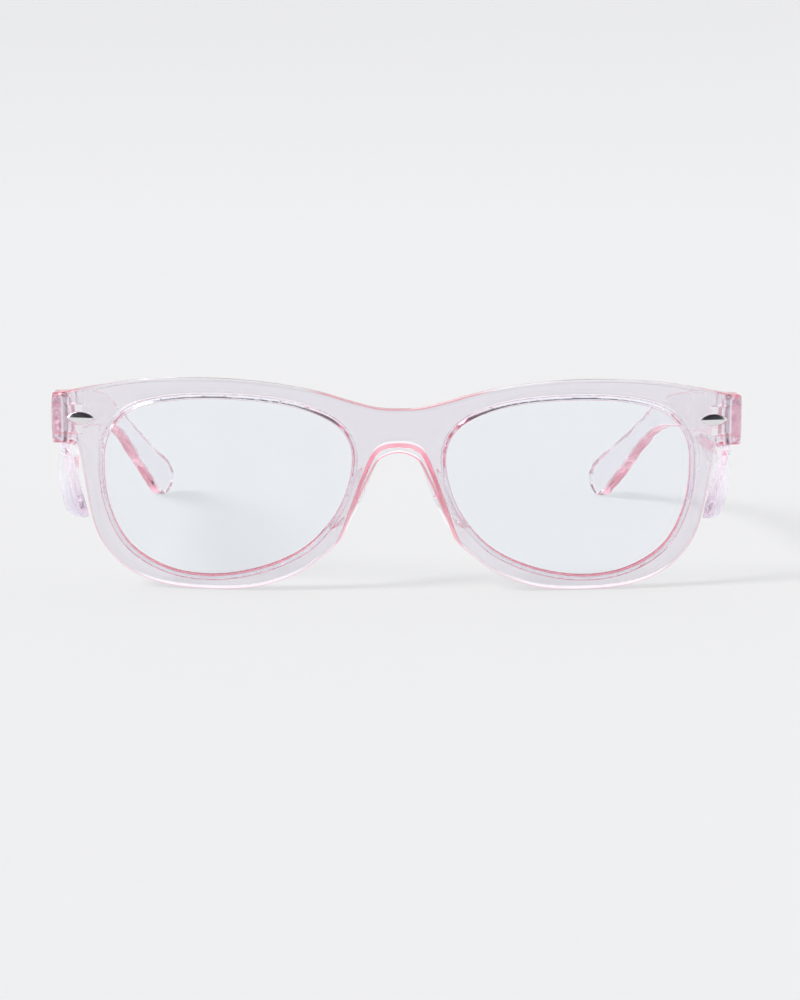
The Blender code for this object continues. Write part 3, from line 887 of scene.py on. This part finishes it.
def front_painted_light_and_shade(nodes, links, colour):
    """Painted shade: deeper pink where the front turns away from its face, for the darker, deeper
    colour that light gathers on its long way through the edges. Painted light: white on the
    groove's walls, so that the band round each lens stays pale.

    The hinge corners are pink above and below only, and the pads and the outer top edge pale.
    """
    across = coordinate(nodes, links, "Object", "X")
    height = coordinate(nodes, links, "Object", "Z", unsigned=False)
    back = coordinate(nodes, links, "Object", "Y", unsigned=False)
    bend = worked(nodes, links, "MULTIPLY", across, across)
    depth = worked(nodes, links, "MULTIPLY_ADD", bend, -0.5 / FRONT_RADIUS, back)
    facing = coordinate(nodes, links, "Normal", "Y")

    # painted light: the mask of groove walls that are painted white
    behind_face = spanned(nodes, links, depth, FRONT_Y + FACE_CLEAR, FRONT_Y + GROOVE_WHITE)
    before_rear = spanned(nodes, links, depth, FRONT_Y + REAR_CLEAR, FRONT_Y + GROOVE_WHITE_END)
    flat = spanned(nodes, links, facing, *ALONG)
    inner = worked(nodes, links, "MULTIPLY", behind_face, before_rear)
    inner = worked(nodes, links, "MULTIPLY", inner, flat)
    colour = mixed(nodes, links, inner, colour, PAINTED_GROOVE_LIGHT)

    # painted shade: the mask of edges and hinge corners that are painted deeper pink
    turned = spanned(nodes, links, facing, *TURNED_AWAY)
    inward = spanned(nodes, links, across, CORNER_END, CORNER_START)
    outward = spanned(nodes, links, across, CORNER_START, CORNER_END)
    ahead = spanned(nodes, links, depth, FRONT_Y + PAD_CLEAR, FRONT_Y + PAD_TINT)
    below = spanned(nodes, links, height, TOP_EDGE_CLEAR, TOP_EDGE)
    level = spanned(nodes, links, coordinate(nodes, links, "Normal", "Z"), *ALONG)
    edge = worked(nodes, links, "MULTIPLY", turned, inward)
    edge = worked(nodes, links, "MULTIPLY", edge, ahead)
    corner = worked(nodes, links, "MULTIPLY", level, outward)
    share = worked(nodes, links, "MAXIMUM", edge, corner)
    share = worked(nodes, links, "MULTIPLY", share, below)
    return mixed(nodes, links, share, colour, PAINTED_EDGE_SHADE)


def temple_painted_edge_shade(nodes, links, colour):
    """Painted shade: deeper pink along the upper and lower edges, towards the tips, for the
    deeper colour that light gathers along the edges.
    """
    level = spanned(nodes, links, coordinate(nodes, links, "Normal", "Z"), *ALONG)
    back = coordinate(nodes, links, "Object", "Y", unsigned=False)
    far = spanned(nodes, links, back, FRONT_Y + TEMPLE_CLEAR, FRONT_Y + TEMPLE_TINT)
    return mixed(nodes, links, worked(nodes, links, "MULTIPLY", level, far), colour, PAINTED_TEMPLE_EDGE_SHADE)


def shield_shade(nodes, links, colour):
    """Lavender in the lower half of a shield."""
    height = coordinate(nodes, links, "Object", "Z", unsigned=False)
    share = spanned(nodes, links, height, SHIELD_TINT_TOP, SHIELD_TINT_FULL)
    return mixed(nodes, links, share, colour, FOOT_LAVENDER)


def polished_steel():
    """Polished steel with faint rubbing marks."""
    material, nodes, links, shader = new_material("polished_steel")
    shader.inputs["Metallic"].default_value = 1.0
    marks = noise(nodes, links, STEEL_SCALE, STEEL_DETAIL)
    links.new(blend(nodes, links, marks, STEEL_COLOURS), shader.inputs["Base Color"])
    spread(nodes, links, marks, STEEL_ROUGHNESS, shader.inputs["Roughness"])
    return material


def pale_paper():
    """The studio's pale floor and backdrop, with a very faint mottle."""
    material, nodes, links, shader = new_material("pale_paper")
    mottle = noise(nodes, links, PAPER_SCALE, PAPER_DETAIL)
    links.new(blend(nodes, links, mottle, PAPER_COLOURS), shader.inputs["Base Color"])
    spread(nodes, links, mottle, PAPER_ROUGHNESS, shader.inputs["Roughness"])
    return material


# ---------------------------------------------------------------- studio

FLOOR_RADIUS = 2.0
FLOOR_RIM = 14.0
FLOOR_RIM_SLOPE = 0.26
FLOOR_RINGS = 30
FLOOR_SIDES = 96
FLOOR_DROP = 0.00015

# The room's dim part: a wide patch about one direction, by the cosine of the angle from it
SKY_COLOURS = ((1.165, 1.167, 1.180), (0.03, 0.03, 0.04))
SKY_DARK_DIRECTION = (0.0, -0.80, 0.60)
SKY_DARK_WIDENING = (0.6, 1.0, 1.0)
SKY_DARK_EDGE = (0.70, 0.86)
SUN_STRENGTH = 0.70
SUN_ANGLE = math.radians(22)
SUN_FROM = (-1.05, -0.45, 0.95)
LIGHT_BOUNCES = 64


def make_studio():
    """A round paper floor that curves up very gently far away."""
    bm = bmesh.new()
    centre = bm.verts.new((0, 0, 0))
    rings = []
    for step in range(FLOOR_RINGS + 1):
        share = step / FLOOR_RINGS
        radius = FLOOR_RADIUS + (FLOOR_RIM - FLOOR_RADIUS) * share
        height = FLOOR_RIM_SLOPE * (FLOOR_RIM - FLOOR_RADIUS) * share ** 2 / 2
        rings.append([
            bm.verts.new((radius * math.cos(turn), radius * math.sin(turn), height))
            for turn in (2 * math.pi * i / FLOOR_SIDES for i in range(FLOOR_SIDES))])
    for i in range(FLOOR_SIDES):
        j = (i + 1) % FLOOR_SIDES
        bm.faces.new((centre, rings[0][i], rings[0][j]))
        for near, far in zip(rings, rings[1:]):
            bm.faces.new((near[i], far[i], far[j], near[j]))
    mesh = bpy.data.meshes.new("paper_floor")
    bm.to_mesh(mesh)
    bm.free()
    mesh.shade_smooth()
    floor = bpy.data.objects.new("paper_floor", mesh)
    bpy.context.scene.collection.objects.link(floor)
    floor.location.z = cad_box[0][2] - FLOOR_DROP
    mesh.materials.append(pale_paper())


def make_lights():
    """A pale room, dim above and behind the camera, and a large soft lamp up on the left."""
    world = bpy.data.worlds.new("studio")
    bpy.context.scene.world = world
    world.use_nodes = True
    nodes = world.node_tree.nodes
    links = world.node_tree.links
    place = nodes.new("ShaderNodeTexCoord")
    wide = nodes.new("ShaderNodeVectorMath")
    wide.operation = "MULTIPLY"
    wide.inputs[1].default_value = SKY_DARK_WIDENING
    links.new(place.outputs["Generated"], wide.inputs[0])
    unit = nodes.new("ShaderNodeVectorMath")
    unit.operation = "NORMALIZE"
    links.new(wide.outputs["Vector"], unit.inputs[0])
    toward = nodes.new("ShaderNodeVectorMath")
    toward.operation = "DOT_PRODUCT"
    toward.inputs[1].default_value = Vector(SKY_DARK_DIRECTION).normalized()
    links.new(unit.outputs["Vector"], toward.inputs[0])
    sky = blend(nodes, links, toward.outputs["Value"], SKY_COLOURS, SKY_DARK_EDGE)
    links.new(sky, nodes["Background"].inputs["Color"])
    sun = bpy.data.lights.new("soft_lamp", "SUN")
    sun.energy = SUN_STRENGTH
    sun.angle = SUN_ANGLE
    lamp = bpy.data.objects.new("soft_lamp", sun)
    lamp.rotation_euler = Vector(SUN_FROM).to_track_quat("Z", "Y").to_euler()
    bpy.context.scene.collection.objects.link(lamp)


# ---------------------------------------------------------------- camera

CAMERA_ELEVATION = math.radians(8.152)
CAMERA_AZIMUTH = math.radians(1.813)
CAMERA_ROLL = math.radians(0.393)
CAMERA_DISTANCE = 0.541
CAMERA_TARGET = (0.000228, FRONT_Y, 0.01976)
CAMERA_LENS = 91.47
CAMERA_CLIP_START = 0.01


def make_camera():
    """The photo's camera: its bearing about the upright, its height and its roll."""
    forward = Vector((
        math.sin(CAMERA_AZIMUTH) * math.cos(CAMERA_ELEVATION),
        math.cos(CAMERA_AZIMUTH) * math.cos(CAMERA_ELEVATION), -math.sin(CAMERA_ELEVATION)))
    level = Vector((math.cos(CAMERA_AZIMUTH), -math.sin(CAMERA_AZIMUTH), 0.0))
    upward = level.cross(forward)
    right = level * math.cos(CAMERA_ROLL) + upward * math.sin(CAMERA_ROLL)
    up = upward * math.cos(CAMERA_ROLL) - level * math.sin(CAMERA_ROLL)
    data = bpy.data.cameras.new("camera")
    data.lens = CAMERA_LENS
    data.clip_start = CAMERA_CLIP_START
    camera = bpy.data.objects.new("camera", data)
    turn = Matrix((right, up, -forward)).transposed().to_4x4()
    camera.matrix_world = Matrix.Translation(
        Vector(CAMERA_TARGET) - CAMERA_DISTANCE * forward) @ turn
    bpy.context.scene.collection.objects.link(camera)
    bpy.context.scene.camera = camera


def main():
    pink_front = clear_plastic(
        "pink_clear_front", FRONT_TINTS, MOULDED_WEAR, PINK_ABSORBED, FRONT_DENSITY, front_painted_light_and_shade)
    pink_temples = clear_plastic(
        "pink_clear_temples", TEMPLE_TINTS, MOULDED_WEAR, PINK_ABSORBED, TEMPLE_DENSITY,
        temple_painted_edge_shade)
    lens = clear_plastic("lens_clear", LENS_TINTS, LENS_WEAR)
    shield = clear_plastic(
        "shield_clear", SHIELD_TINTS, MOULDED_WEAR, SHIELD_ABSORBED, SHIELD_DENSITY,
        shield_shade)
    steel = polished_steel()
    make_front(pink_front)
    for side, name in SIDES:
        make_lens(side, name, lens)
        make_rivet(side, name, steel)
        make_screw(side, name, steel)
        make_temple(side, name, pink_temples)
        make_shield(side, name, shield)
    make_studio()
    make_lights()
    make_camera()
    scene = bpy.context.scene
    scene.view_settings.view_transform = "Standard"
    scene.cycles.transmission_bounces = LIGHT_BOUNCES
    scene.cycles.glossy_bounces = LIGHT_BOUNCES
    scene.cycles.max_bounces = LIGHT_BOUNCES


main()
